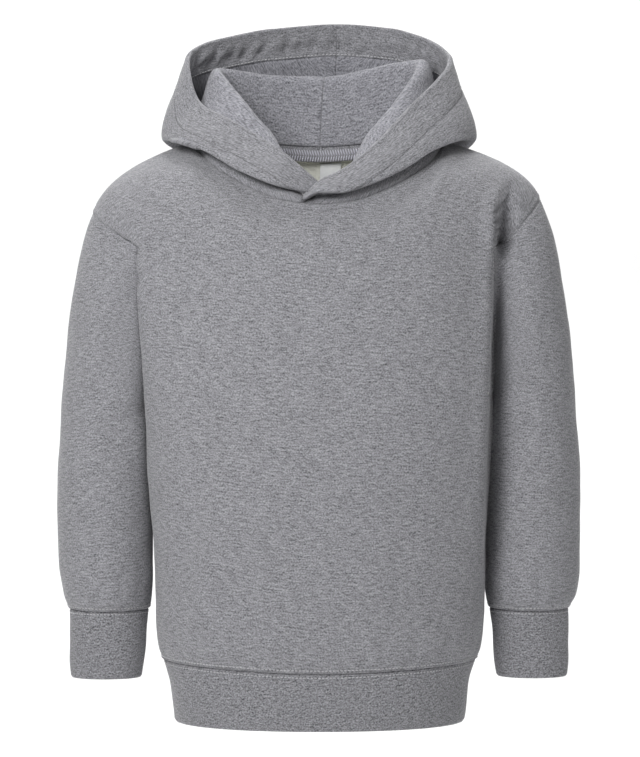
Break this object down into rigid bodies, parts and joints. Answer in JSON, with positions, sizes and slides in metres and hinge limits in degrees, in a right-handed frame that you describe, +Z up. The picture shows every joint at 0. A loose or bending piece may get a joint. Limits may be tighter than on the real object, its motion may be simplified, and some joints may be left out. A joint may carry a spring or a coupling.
{
  "type": "toddler hoodie",
  "caption": "Plain pullover hoodie for a toddler in its worn, hollow form: fleece body and sleeves, ribbed cuffs and hem band, lined hood lying back, fronts lapped at the neck.",
  "frame": {"origin": "middle of the neck opening, level with the back-neck seam, where the wearer's neck and shoulders hold it up", "axes": "+Z up, -Y the front of the garment, +X the wearer's left"},
  "size_m": [0.3754, 0.1995, 0.5065],
  "materials": {
    "grey_fleece": "matte",
    "grey_jersey": "matte",
    "grey_rib": "matte",
    "white_satin": "satin"
  },
  "bodies": {
    "root": {"front": "grey_fleece", "back": "grey_fleece", "sleeve_left": "grey_fleece", "sleeve_right": "grey_fleece", "cuff_left": "grey_rib", "cuff_right": "grey_rib", "hem_band": "grey_rib", "hood_left": "grey_fleece", "hood_right": "grey_fleece", "hood_lining_left": "grey_jersey", "hood_lining_right": "grey_jersey", "neck_label": "white_satin"}
  },
  "joints": []
}
